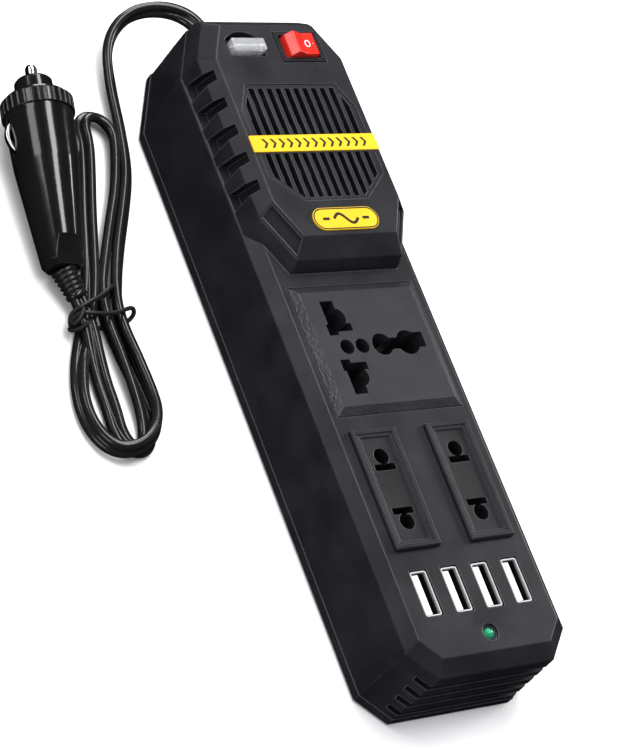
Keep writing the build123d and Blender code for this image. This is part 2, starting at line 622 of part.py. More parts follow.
with BuildPart() as fan_rotor:
    hub_low = FAN_BASE_Z + 1.8
    hub_high = FAN_TOP_Z - 0.8
    round_post(0, FAN_Y, HUB_RADIUS, hub_low, hub_high)
    fillet(fan_rotor.faces().sort_by(Axis.Z)[-1].edges(), radius=0.8)
    round_post(0, FAN_Y, HUB_RADIUS - 1.0, hub_low - 1, hub_high - 1.2, mode=Mode.SUBTRACT)
    round_post(0, FAN_Y, 1.0, FAN_BASE_Z + 0.9, hub_high - 0.6)
    for index in range(7):
        blade_angle = radians(360 / 7 * index)
        blade_plane = Plane(
            origin=(0, FAN_Y, (hub_low + hub_high) / 2),
            x_dir=(-sin(blade_angle), cos(blade_angle), 0),
            z_dir=(cos(blade_angle), sin(blade_angle), 0),
        )
        with BuildSketch(blade_plane.offset(HUB_RADIUS - 0.3)):
            Rectangle(7.6, 1.0, rotation=38)
        extrude(amount=ROTOR_RADIUS - HUB_RADIUS)
write(fan_rotor.part, "fan_rotor")

# ---------------------------------------------------------------- inner wires and the cord's bush
with BuildPart() as input_wires:
    for x in (CORD_X - 1.2, CORD_X + 1.2):
        with BuildLine() as wire_path:
            corners = [(x, 94.8, CORD_Z), (x, 84.0, CORD_Z), (x, 72.0, BOARD_TOP + 3), (x, 72.0, BOARD_TOP)]
            FilletPolyline(*corners, radius=2.4)
        with BuildSketch(Plane(origin=wire_path.line @ 0, z_dir=wire_path.line % 0)):
            Circle(0.9)
        sweep(path=wire_path.line)
write(input_wires.part, "input_wires")

with BuildPart() as output_wires:
    for x in (-7.0, 0.0, 7.0):
        with BuildLine() as wire_path:
            FilletPolyline((x, 15.0, BOARD_TOP), (x, 15.0, 18.0), (x, 11.2, 18.0), radius=1.8)
        with BuildSketch(Plane(origin=wire_path.line @ 0, z_dir=wire_path.line % 0)):
            Circle(0.7)
        sweep(path=wire_path.line)
write(output_wires.part, "output_wires")

BUSH_END = 103.5

with BuildPart() as cord_grommet:
    with BuildSketch(Plane.YZ.offset(CORD_X)):
        with BuildLine():
            Polyline(
                (94.8, CORD_Z),
                (94.8, CORD_Z + 4.6),
                (96.4, CORD_Z + 4.6),
                (96.4, CORD_Z + 3.2),
                (99.8, CORD_Z + 3.2),
                (99.8, CORD_Z + 3.6),
                (100.6, CORD_Z + 3.6),
                (BUSH_END, CORD_Z + 2.6),
                (BUSH_END, CORD_Z),
                close=True,
            )
        make_face()
    revolve(axis=Axis((CORD_X, 0, CORD_Z), (0, 1, 0)))
write(cord_grommet.part, "cord_grommet")

# ---------------------------------------------------------------- free cord
# The lead leaves the bush, turns back beside the case in an arch and runs down to the tied hank.
CORD_ROUTE = [
    (CORD_X, BUSH_END, CORD_Z),
    (-2.0, 112.0, 12.3),
    (-10.0, 118.6, 10.8),
    (-22.0, 118.8, 8.2),
    (-31.6, 110.0, 5.0),
    (-34.4, 96.0, 3.0),
    (-35.6, 79.0, CORD_FLOOR),
    (-38.6, 62.0, CORD_FLOOR),
    (-44.4, 46.0, CORD_FLOOR),
    (-53.0, 32.0, CORD_FLOOR),
]
CORD_MIN_RADIUS = 3 * CORD_DIAMETER


def corner_radii(points):
    """The arc radius at each inner corner: 0.45 of the shorter run over tan of half the turn."""
    vectors = [Vector(*point) for point in points]
    radii = []
    for before, corner, after in zip(vectors, vectors[1:], vectors[2:]):
        arriving = corner - before
        leaving = after - corner
        half_turn = radians(arriving.get_angle(leaving)) / 2
        radii.append(0.45 * min(arriving.length, leaving.length) / tan(half_turn))
    return radii


cord_radii = corner_radii(CORD_ROUTE)
with BuildPart() as cord_lead:
    with BuildLine() as cord_path:
        FilletPolyline(*CORD_ROUTE, radius=cord_radii)
    with BuildSketch(Plane(origin=cord_path.line @ 0, z_dir=cord_path.line % 0)):
        Circle(CORD_DIAMETER / 2)
    sweep(path=cord_path.line)
write(cord_lead.part, "cord_lead")
print("cord radii", [round(radius, 1) for radius in cord_radii], "least wanted", CORD_MIN_RADIUS)
print("cord length", round(cord_path.wire().length, 1))
expected_volume = pi * CORD_DIAMETER**2 / 4 * cord_path.wire().length
print("cord volume over section times length", cord_lead.part.volume / expected_volume)

# outer shape of the hank: a long upper loop, a waist under the tie and a wider lower loop
HANK_LOW, HANK_HIGH = 0.3, 6.3
HANK_OUTLINE = [
    (-55.2, 28.5),
    (-47.4, 48.0),
    (-42.4, 64.0),
    (-40.2, 78.0),
    (-43.0, 86.0),
    (-49.5, 87.4),
    (-54.6, 82.0),
    (-57.4, 66.0),
    (-59.6, 48.0),
    (-64.6, 28.4),
    (-69.8, 28.4),
    (-69.2, 26.0),
    (-68.0, 24.0),
    (-68.0, 19.5),
    (-75.6, 11.0),
    (-79.4, -3.0),
    (-77.4, -16.0),
    (-68.0, -23.0),
    (-57.6, -18.0),
    (-53.6, -4.0),
    (-54.0, 12.0),
    (-56.2, 19.5),
    (-56.2, 24.0),
]

with BuildPart() as cord_hank:
    with BuildSketch(Plane.XY.offset(HANK_LOW)):
        Polygon(*HANK_OUTLINE)
    extrude(amount=HANK_HIGH - HANK_LOW)
write(cord_hank.part, "cord_hank")

with BuildPart() as cord_tie:
    for y in (20.4, 22.4):
        plain_box(-69.4, -54.8, y - 0.7, y + 0.7, 0.05, 7.2)
    plain_box(-69.4, -68.6, 20.4, 22.4, 0.05, 7.2)
    plain_box(-68.6, -55.6, 19.0, 24.0, 0.0, 6.6, mode=Mode.SUBTRACT)
    plain_box(-68.6, -55.6, 19.0, 24.0, -0.5, 0.3, mode=Mode.SUBTRACT)
write(cord_tie.part, "cord_tie")

# ---------------------------------------------------------------- lighter plug
# The plug lies on the floor with its cord end low: PLUG_ROOT is its barrel's cord end.
PLUG_ROOT = Vector(-70.3, 36.2, 6.0)
PLUG_NOSE = Vector(-61.8, 97.3, 11.8)
PLUG_AXIS = (PLUG_NOSE - PLUG_ROOT).normalized()
PLUG_SIDE = PLUG_AXIS.cross(Vector(0, 0, 1)).normalized()
PLUG_PLANE = Plane(origin=PLUG_ROOT, x_dir=PLUG_SIDE, z_dir=PLUG_AXIS)
PROFILE_PLANE = Plane(origin=PLUG_ROOT, x_dir=PLUG_SIDE, z_dir=PLUG_SIDE.cross(PLUG_AXIS))
PLUG_LINE = Axis(PLUG_ROOT, PLUG_AXIS)
PLUG_UP = PLUG_SIDE.cross(PLUG_AXIS)
FLAT_PLANE = Plane(origin=PLUG_ROOT, x_dir=PLUG_UP, z_dir=PLUG_UP.cross(PLUG_AXIS))
# the cord-end flat, as distances out from the axis and along it
FLAT_CORNERS = [(3.9, -1.0), (3.9, 0.0), (5.7, 7.6), (9.0, 7.6), (9.0, -1.0)]
print("plug axis", [round(part, 5) for part in PLUG_AXIS], "side", [round(part, 5) for part in PLUG_SIDE])

CONTACT_LOW, CONTACT_HIGH = 33.5, 43.5
RING_LOW, RING_HIGH = 45.6, 50.2
TIP_TRAVEL = 3.0


def turned(profile):
    """A solid turned round the plug's axis from (radius, distance along the axis) corners."""
    with BuildSketch(PROFILE_PLANE) as half_section:
        with BuildLine():
            Polyline(*profile, close=True)
        make_face()
    revolve(half_section.sketch, axis=PLUG_LINE)


def bored(radius, low, high):
    """A round hole along the plug's axis."""
    with BuildSketch(PLUG_PLANE.offset(low)) as hole:
        Circle(radius)
    extrude(hole.sketch, amount=high - low, mode=Mode.SUBTRACT)


with BuildPart() as plug_body:
    barrel = [(0, 0), (4.6, 0), (5.7, 1.4), (8.8, 30.0), (9.4, 44.0), (9.4, RING_LOW)]
    turned(barrel + [(8.0, RING_LOW), (8.0, 50.0), (0, 50.0)])
    bored(1.9, -1, 12)
    bored(3.5, 10, 51)
    # a sloping flat at the cord end, above and below
    for side in (1, -1):
        with BuildSketch(FLAT_PLANE) as flat:
            Polygon(*[(side * out, along) for out, along in FLAT_CORNERS])
        extrude(flat.sketch, amount=8.0, both=True, mode=Mode.SUBTRACT)
    for side in (1, -1):
        with BuildSketch(PLUG_PLANE.offset(CONTACT_LOW - 0.8)):
            with Locations((side * 8.0, 0)):
                Rectangle(6.4, 2.0)
        extrude(amount=CONTACT_HIGH - CONTACT_LOW + 1.6, mode=Mode.SUBTRACT)
write(plug_body.part, "plug_body")

with BuildPart() as plug_ring:
    turned([(8.05, RING_LOW), (10.0, RING_LOW), (10.0, RING_HIGH - 0.6), (9.4, RING_HIGH), (8.05, RING_HIGH)])
    with BuildSketch(PLUG_PLANE.offset(RING_LOW)):
        with PolarLocations(10.1, 32):
            Circle(0.35)
    extrude(amount=RING_HIGH - RING_LOW, mode=Mode.SUBTRACT)
write(plug_ring.part, "plug_ring")

with BuildPart() as plug_cap:
    turned([(0, 50.25), (8.9, 50.25), (8.6, 51.0), (5.5, 51.2), (5.2, 56.0), (4.7, 56.6), (0, 56.6)])
    bored(3.5, 50, 54.6)
    bored(1.75, 54, 58)
write(plug_cap.part, "plug_cap")

with BuildPart() as plug_tip:
    turned([(0, 51.4), (2.9, 51.4), (2.9, 54.4), (1.65, 54.4), (1.65, 60.5), (1.2, 61.3), (0, 61.5)])
write(plug_tip.part, "plug_tip")

with BuildPart() as plug_spring:
    for turn in range(4):
        with BuildSketch(PLUG_PLANE.offset(42.0 + 1.5 * turn)):
            Circle(2.9)
            Circle(2.0, mode=Mode.SUBTRACT)
        extrude(amount=0.8)
    for angle in (0, 180):
        with BuildSketch(PLUG_PLANE.offset(42.0)):
            with PolarLocations(2.45, 1, start_angle=angle):
                Rectangle(0.6, 0.6)
        extrude(amount=5.0)
write(plug_spring.part, "plug_spring")

with BuildPart() as plug_fuse:
    turned([(0, 14.0), (3.1, 14.0), (3.1, 41.0), (0, 41.0)])
write(plug_fuse.part, "plug_fuse")

for side, word in ((-1, "left"), (1, "right")):
    with BuildPart() as plug_contact:
        middle = (CONTACT_LOW + CONTACT_HIGH) / 2
        with BuildSketch(PROFILE_PLANE):
            with BuildLine():
                ThreePointArc((side * 8.1, CONTACT_LOW), (side * 10.9, middle), (side * 8.1, CONTACT_HIGH))
                Line((side * 8.1, CONTACT_HIGH), (side * 7.1, CONTACT_HIGH))
                ThreePointArc((side * 7.1, CONTACT_HIGH), (side * 9.9, middle), (side * 7.1, CONTACT_LOW))
                Line((side * 7.1, CONTACT_LOW), (side * 8.1, CONTACT_LOW))
            make_face()
        extrude(amount=0.65, both=True)
    write(plug_contact.part, f"plug_contact_{word}")

# the ribbed strain relief bends the cord in towards the hank
RELIEF_END = Vector(-67.9, 28.4, 4.3)
RELIEF_AXIS = (RELIEF_END - PLUG_ROOT).normalized()
RELIEF_START = PLUG_ROOT + RELIEF_AXIS * 0.6
RELIEF_LENGTH = (RELIEF_END - RELIEF_START).length
RELIEF_PLANE = Plane(origin=RELIEF_START, z_dir=RELIEF_AXIS)

with BuildPart() as plug_strain_relief:
    with BuildSketch(RELIEF_PLANE):
        Circle(3.5)
    with BuildSketch(RELIEF_PLANE.offset(RELIEF_LENGTH)):
        Circle(2.7)
    loft()
write(plug_strain_relief.part, "plug_strain_relief")
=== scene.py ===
# Looks of a hand-held power inverter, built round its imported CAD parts. Lengths are in metres,
# apart from those that a comment gives in millimetres, which MM turns into metres.
import json
from math import acos, cos, pi, radians, sin

import bmesh
import bpy
import numpy as np
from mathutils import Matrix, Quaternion, Vector
from mathutils.bvhtree import BVHTree


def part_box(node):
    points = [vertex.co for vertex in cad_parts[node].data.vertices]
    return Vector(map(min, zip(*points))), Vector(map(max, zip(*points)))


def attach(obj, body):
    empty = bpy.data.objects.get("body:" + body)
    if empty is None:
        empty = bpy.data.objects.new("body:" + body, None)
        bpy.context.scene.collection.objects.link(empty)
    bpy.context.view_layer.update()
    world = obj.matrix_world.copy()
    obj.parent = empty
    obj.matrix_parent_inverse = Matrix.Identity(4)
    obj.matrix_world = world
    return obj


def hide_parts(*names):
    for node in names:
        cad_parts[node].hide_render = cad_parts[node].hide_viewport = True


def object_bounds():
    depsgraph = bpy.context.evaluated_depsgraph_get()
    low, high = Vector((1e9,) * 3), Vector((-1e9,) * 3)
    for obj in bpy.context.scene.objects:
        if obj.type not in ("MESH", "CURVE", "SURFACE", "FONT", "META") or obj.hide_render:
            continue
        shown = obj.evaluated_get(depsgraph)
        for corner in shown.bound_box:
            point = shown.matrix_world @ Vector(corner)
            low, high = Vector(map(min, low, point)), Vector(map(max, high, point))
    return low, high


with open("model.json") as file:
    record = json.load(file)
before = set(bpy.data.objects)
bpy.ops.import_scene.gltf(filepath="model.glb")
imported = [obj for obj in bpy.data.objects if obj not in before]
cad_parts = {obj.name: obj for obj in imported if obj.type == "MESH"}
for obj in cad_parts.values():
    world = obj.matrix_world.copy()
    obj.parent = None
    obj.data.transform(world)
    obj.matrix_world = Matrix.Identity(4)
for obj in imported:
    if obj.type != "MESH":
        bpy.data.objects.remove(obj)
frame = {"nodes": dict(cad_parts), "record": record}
cad_low, cad_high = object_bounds()
nodes = frame["nodes"]
scene = bpy.context.scene
MM = 0.001
UP = Vector((0, 0, 1))
WELD_DISTANCE = 1e-7

# ---------------------------------------------------------------- camera
# the lens is in millimetres
CAMERA_PLACE = Vector((-0.43629, -0.26969, 0.53441))
CAMERA_AIM = Vector((-0.00124, 0.00227, 0.00014))
CAMERA_ROLL = radians(44.21)
LENS = 130.0
CLIP_START = 0.05


def make_camera():
    """The camera, high on the lower left of the case and rolled so that the case leans."""
    data = bpy.data.cameras.new("camera")
    data.lens = LENS
    data.clip_start = CLIP_START
    camera = bpy.data.objects.new("camera", data)
    scene.collection.objects.link(camera)
    aim = (CAMERA_AIM - CAMERA_PLACE).to_track_quat("-Z", "Y")
    camera.rotation_mode = "QUATERNION"
    camera.rotation_quaternion = aim @ Quaternion(UP, CAMERA_ROLL)
    camera.location = CAMERA_PLACE
    scene.camera = camera


# ---------------------------------------------------------------- material nodes
class Graph:
    """A material's node tree with short calls for the nodes used here."""

    def __init__(self, name):
        self.material = bpy.data.materials.new(name)
        self.material.use_nodes = True
        self.tree = self.material.node_tree
        self.shader = self.tree.nodes["Principled BSDF"]
        self.place = self.node("ShaderNodeTexCoord").outputs["Object"]

    def node(self, kind, **values):
        made = self.tree.nodes.new(kind)
        for key, value in values.items():
            setattr(made, key, value)
        return made

    def link(self, source, target):
        self.tree.links.new(source, target)

    def noise(self, size, detail=3.0, roughness=0.55):
        """Fractal noise whose features are about size metres across."""
        made = self.node("ShaderNodeTexNoise")
        made.inputs["Scale"].default_value = 1 / size
        made.inputs["Detail"].default_value = detail
        made.inputs["Roughness"].default_value = roughness
        self.link(self.place, made.inputs["Vector"])
        return made.outputs["Fac"]

    def cells(self, size):
        """Rounded cells about size metres across, as spark-eroded plastic has."""
        made = self.node("ShaderNodeTexVoronoi", feature="SMOOTH_F1")
        made.inputs["Scale"].default_value = 1 / size
        self.link(self.place, made.inputs["Vector"])
        return made.outputs["Distance"]

    def spread(self, value, low, high, to_low, to_high):
        """Maps value from low..high to to_low..to_high, held at both ends."""
        made = self.node("ShaderNodeMapRange")
        made.inputs["From Min"].default_value = low
        made.inputs["From Max"].default_value = high
        made.inputs["To Min"].default_value = to_low
        made.inputs["To Max"].default_value = to_high
        self.link(value, made.inputs["Value"])
        return made.outputs["Result"]

    def blend(self, share, first, second):
        """Mixes two colours by share, 0 giving the first."""
        made = self.node("ShaderNodeMix", data_type="RGBA")
        self.link(share, made.inputs["Factor"])
        for index, colour in ((6, first), (7, second)):
            if isinstance(colour, tuple):
                made.inputs[index].default_value = (*colour, 1)
            else:
                self.link(colour, made.inputs[index])
        return made.outputs[2]

    def soft_edges(self, radius):
        """Normals rounded over radius, and how far they leave the flat face, from 0 to 1."""
        bevel = self.node("ShaderNodeBevel", samples=6)
        bevel.inputs["Radius"].default_value = radius
        flat = self.node("ShaderNodeNewGeometry").outputs["Normal"]
        same = self.node("ShaderNodeVectorMath", operation="DOT_PRODUCT")
        self.link(bevel.outputs["Normal"], same.inputs[0])
        self.link(flat, same.inputs[1])
        return bevel.outputs["Normal"], self.spread(same.outputs["Value"], 1.0, 0.82, 0.0, 1.0)

    def bump(self, height, strength, distance, normal=None):
        """Bump from height, on top of another normal."""
        made = self.node("ShaderNodeBump")
        made.inputs["Strength"].default_value = strength
        made.inputs["Distance"].default_value = distance
        self.link(height, made.inputs["Height"])
        if normal is not None:
            self.link(normal, made.inputs["Normal"])
        return made.outputs["Normal"]


def finish_material(
    name,
    colour,
    roughness,
    variation=0.25,
    grain=0.0005,
    grain_strength=0.25,
    edge=0.0003,
    edge_gain=1.8,
    metal=0.0,
    specular=0.5,
    coat=0.0,
    transmission=0.0,
    glow=0.0,
    cells=False,
):
    """A moulded or metal finish: mottled colour, uneven roughness, fine grain and painted highlights along
    the edges.
    """
    graph = Graph(name)
    shader = graph.shader
    shader.inputs["Metallic"].default_value = metal
    shader.inputs["Specular IOR Level"].default_value = specular
    shader.inputs["Coat Weight"].default_value = coat
    shader.inputs["Coat Roughness"].default_value = 0.08
    shader.inputs["Transmission Weight"].default_value = transmission
    if glow:
        shader.inputs["Emission Color"].default_value = (*colour, 1)
        shader.inputs["Emission Strength"].default_value = glow
    normal, edge_highlight = graph.soft_edges(edge)
    dark = tuple(part * (1 - variation) for part in colour)
    light = tuple(min(1.0, part * (1 + variation)) for part in colour)
    mottled = graph.blend(graph.spread(graph.noise(0.012), 0.35, 0.65, 0, 1), dark, light)
    # painted highlight: the colour is made lighter along the edges, where the rounded bevel normal turns
    # away from the flat face
    edge_highlight_colour = tuple(min(1.0, part * edge_gain + 0.004) for part in colour)
    graph.link(graph.blend(edge_highlight, mottled, edge_highlight_colour), shader.inputs["Base Color"])
    smudge = graph.noise(0.02, 4.0)
    uneven = graph.spread(smudge, 0.3, 0.7, roughness * 0.85, roughness * 1.15)
    graph.link(uneven, shader.inputs["Roughness"])
    height = graph.cells(grain) if cells else graph.noise(grain, 2.0)
    graph.link(graph.bump(height, grain_strength, grain * 0.2, normal), shader.inputs["Normal"])
    return graph.material


CASE = (0.0125, 0.0125, 0.0155)
PLASTIC_BLACK = (0.006, 0.006, 0.0065)
RUBBER = (0.009, 0.009, 0.0095)


def socket_plate_finish():
    """Satin plastic whose sloped border is coarsely pebbled, with the flat middle nearly smooth and painted
    highlights along its edges.
    """
    graph = Graph("socket_plate_finish")
    shader = graph.shader
    shader.inputs["Specular IOR Level"].default_value = 0.45
    normal, edge_highlight = graph.soft_edges(0.00025)
    up = graph.node("ShaderNodeSeparateXYZ")
    graph.link(graph.node("ShaderNodeNewGeometry").outputs["Normal"], up.inputs[0])
    sloped = graph.spread(up.outputs["Z"], 0.99, 0.9, 0.0, 1.0)
    patches = graph.spread(graph.noise(0.01), 0.3, 0.7, 0, 1)
    mottled = graph.blend(patches, (0.016, 0.016, 0.0195), (0.024, 0.024, 0.029))
    # painted highlight: the plate's colour goes lighter along its edges, where the rounded bevel normal
    # turns away from the flat face
    graph.link(graph.blend(edge_highlight, mottled, (0.045, 0.045, 0.05)), shader.inputs["Base Color"])
    graph.link(graph.spread(sloped, 0, 1, 0.46, 0.34), shader.inputs["Roughness"])
    fine = graph.bump(graph.noise(0.0004, 2.0), 0.18, 0.0001, normal)
    pebbles = graph.node("ShaderNodeBump")
    pebbles.inputs["Distance"].default_value = 0.00022
    graph.link(sloped, pebbles.inputs["Strength"])
    graph.link(graph.noise(0.0011, 2.5, 0.7), pebbles.inputs["Height"])
    graph.link(fine, pebbles.inputs["Normal"])
    graph.link(pebbles.outputs["Normal"], shader.inputs["Normal"])
    return graph.material


def port_finish(name, colour, roughness, metal, unshaded_depth, full_shade_depth):
    """A finish for inside a port: its own colour down to a set distance below its mouth, then painted shade
    that darkens it further in.
    """
    graph = Graph(name)
    shader = graph.shader
    shader.inputs["Metallic"].default_value = metal
    height = graph.node("ShaderNodeSeparateXYZ")
    graph.link(graph.place, height.inputs[0])
    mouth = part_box("usb_shell_1")[1].z
    port_shade = graph.spread(height.outputs["Z"], mouth - unshaded_depth, mouth - full_shade_depth, 0, 1)
    mottled = graph.blend(graph.noise(0.004), tuple(part * 0.9 for part in colour), colour)
    # painted shade: further inside the port the colour is blended towards near black
    graph.link(graph.blend(port_shade, mottled, (0.01, 0.01, 0.011)), shader.inputs["Base Color"])
    uneven = graph.spread(graph.noise(0.003), 0.3, 0.7, roughness * 0.8, roughness * 1.2)
    graph.link(uneven, shader.inputs["Roughness"])
    graph.link(graph.bump(graph.noise(0.0005), 0.15, 0.0001), shader.inputs["Normal"])
    return graph.material


def winding_finish(name, colour, pitch, axis):
    """Wire wound side by side: rounded ridges pitch apart along one axis, with painted shade in the grooves
    between them.
    """
    graph = Graph(name)
    shader = graph.shader
    shader.inputs["Coat Weight"].default_value = 0.4
    bands = graph.node("ShaderNodeTexWave", bands_direction=axis)
    bands.inputs["Scale"].default_value = 1 / (pi * pitch)
    bands.inputs["Distortion"].default_value = 0.4
    graph.link(graph.place, bands.inputs["Vector"])
    ridges = bands.outputs["Fac"]
    # painted shade: the colour darkens towards the grooves between the ridges, following the same wave as
    # the bump
    dark = tuple(part * 0.45 for part in colour)
    graph.link(graph.blend(ridges, dark, colour), shader.inputs["Base Color"])
    graph.link(graph.spread(graph.noise(0.003), 0.3, 0.7, 0.25, 0.4), shader.inputs["Roughness"])
    graph.link(graph.bump(ridges, 0.7, pitch * 0.4), shader.inputs["Normal"])
    return graph.material


def make_finishes():
    """One finish for each material slot of the record."""
    make = finish_material
    return {
        "case_plastic": make("case_finish", CASE, 0.4, grain=0.00045, grain_strength=0.2, edge=0.0004,
                             edge_gain=7.0, specular=0.45),
        "socket_plastic": make("socket_finish", (0.0115, 0.0115, 0.0135), 0.4, edge_gain=7.0, specular=0.45),
        "grille_plastic": make("grille_finish", (0.014, 0.014, 0.0165), 0.38, edge=0.0003, edge_gain=7.0),
        "screw_steel": make("screw_finish", (0.5, 0.5, 0.52), 0.32, metal=1.0, grain=0.0002),
        "label_yellow": make("label_finish", (0.72, 0.44, 0.012), 0.45, variation=0.05, grain=0.0006,
                             grain_strength=0.06, edge=0.0001, edge_gain=1.05, specular=0.3),
        "switch_plastic": make("switch_finish", (0.008, 0.008, 0.0095), 0.33, edge_gain=5.0),
        "rocker_red": make("rocker_finish", (0.66, 0.022, 0.014), 0.2, variation=0.1, grain=0.001,
                           grain_strength=0.04, edge=0.0005, edge_gain=1.5, coat=0.5),
        "tin_metal": make("tin_finish", (0.72, 0.71, 0.68), 0.28, metal=1.0, grain=0.0003),
        "fuse_clear": make("fuse_finish", (0.93, 0.94, 0.96), 0.07, variation=0.03, grain=0.0011,
                           grain_strength=0.7, edge=0.0004, edge_gain=1.05, transmission=0.75),
        "contact_metal": make("contact_finish", (0.86, 0.83, 0.76), 0.22, metal=1.0, grain=0.0003),
        "usb_nickel": port_finish("usb_shell_finish", (0.8, 0.8, 0.8), 0.25, 0.4, 0.0002, 0.0012),
        "usb_white": port_finish("usb_tongue_finish", (0.9, 0.9, 0.89), 0.34, 0.0, 0.0014, 0.006),
        "board_green": make("board_finish", (0.02, 0.12, 0.045), 0.35, grain=0.0012, grain_strength=0.4),
        "led_green": make("led_finish", (0.02, 0.34, 0.16), 0.12, variation=0.1, grain=0.001,
                          grain_strength=0.05, coat=0.6, transmission=0.35, glow=0.12),
        "ferrite": make("ferrite_finish", (0.05, 0.05, 0.052), 0.6, grain=0.0003),
        "winding_tape": winding_finish("tape_finish", (0.75, 0.55, 0.1), 0.004, "Y"),
        "capacitor_sleeve": make("sleeve_finish", (0.03, 0.06, 0.22), 0.25, coat=0.4),
        "heat_sink_aluminium": make("heat_sink_finish", (0.78, 0.78, 0.8), 0.4, metal=1.0, grain=0.0004),
        "epoxy_black": make("epoxy_finish", (0.012, 0.012, 0.012), 0.55, cells=True),
        "toroid_copper": winding_finish("toroid_finish", (0.72, 0.3, 0.12), 0.0009, "X"),
        "fan_plastic": make("fan_finish", (0.01, 0.01, 0.011), 0.4, edge_gain=3.0),
        "wire_red": make("wire_finish", (0.5, 0.02, 0.02), 0.4),
        "cord_pvc": make("cord_finish", RUBBER, 0.24, variation=0.2, grain=0.0016, grain_strength=0.12,
                         edge=0.0001, specular=0.55, coat=0.15),
        "tie_wire": make("tie_finish", (0.011, 0.011, 0.012), 0.4, grain=0.0004, grain_strength=0.5),
        "plug_gloss": make("plug_finish", PLASTIC_BLACK, 0.15, variation=0.15, grain=0.003,
                           grain_strength=0.06, edge=0.0003, edge_gain=5.0, specular=0.55, coat=0.4),
        "plug_nickel": make("plug_pin_finish", (0.82, 0.82, 0.82), 0.18, metal=1.0, grain=0.0004),
        "spring_steel": make("spring_finish", (0.7, 0.7, 0.7), 0.22, metal=1.0, grain=0.0003),
    }


def dress_nodes(finishes):
    """Gives each CAD node the finish of its slot in the record."""
    for row in frame["record"]["subparts"]:
        for used in nodes[row["node"]].material_slots:
            used.material = finishes[row["material_slot"]]
    for used in nodes["universal_socket_plate"].material_slots:
        used.material = socket_plate_finish()


# ---------------------------------------------------------------- mesh helpers
def add_piece(name, vertices, faces, material, body, smooth=True):
    """A mesh piece in the row frame that rides on a CAD body."""
    mesh = bpy.data.meshes.new(name)
    mesh.from_pydata([tuple(v) for v in vertices], [], faces)
    work = bmesh.new()
    work.from_mesh(mesh)
    bmesh.ops.remove_doubles(work, verts=work.verts, dist=WELD_DISTANCE)
    bmesh.ops.recalc_face_normals(work, faces=work.faces)
    work.to_mesh(mesh)
    work.free()
    mesh.materials.append(material)
    for polygon in mesh.polygons:
        polygon.use_smooth = smooth
    piece = bpy.data.objects.new(name, mesh)
    scene.collection.objects.link(piece)
    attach(piece, body)
    return piece


def loop_tube(rings):
    """Vertices and faces of a closed tube through rings of equally many points, capped at both ends."""
    count = len(rings[0])
    vertices = [point for ring in rings for point in ring]
    faces = []
    for ring in range(len(rings) - 1):
        for side in range(count):
            after = (side + 1) % count
            low, high = ring * count, (ring + 1) * count
            faces.append((low + side, low + after, high + after, high + side))
    faces.append(tuple(range(count)))
    last = (len(rings) - 1) * count
    faces.append(tuple(last + side for side in range(count)))
    return vertices, faces


def smooth_line(points, resolution=12):
    """Points read from the smooth curve that has these control points."""
    curve = bpy.data.curves.new("route", "CURVE")
    curve.dimensions = "3D"
    curve.resolution_u = resolution
    spline = curve.splines.new("NURBS")
    spline.points.add(len(points) - 1)
    for control, place in zip(spline.points, points):
        control.co = (*place, 1)
    spline.order_u = 3
    spline.use_endpoint_u = True
    line = bpy.data.objects.new("route", curve)
    scene.collection.objects.link(line)
    depsgraph = bpy.context.evaluated_depsgraph_get()
    mesh = bpy.data.meshes.new_from_object(line.evaluated_get(depsgraph))
    found = [v.co.copy() for v in mesh.vertices]
    bpy.data.objects.remove(line)
    bpy.data.meshes.remove(mesh)
    return found


def directions(line):
    """The unit tangent at each point of a line."""
    ends = zip([line[0]] + line[:-1], line[1:] + [line[-1]])
    return [(after - before).normalized() for before, after in ends]


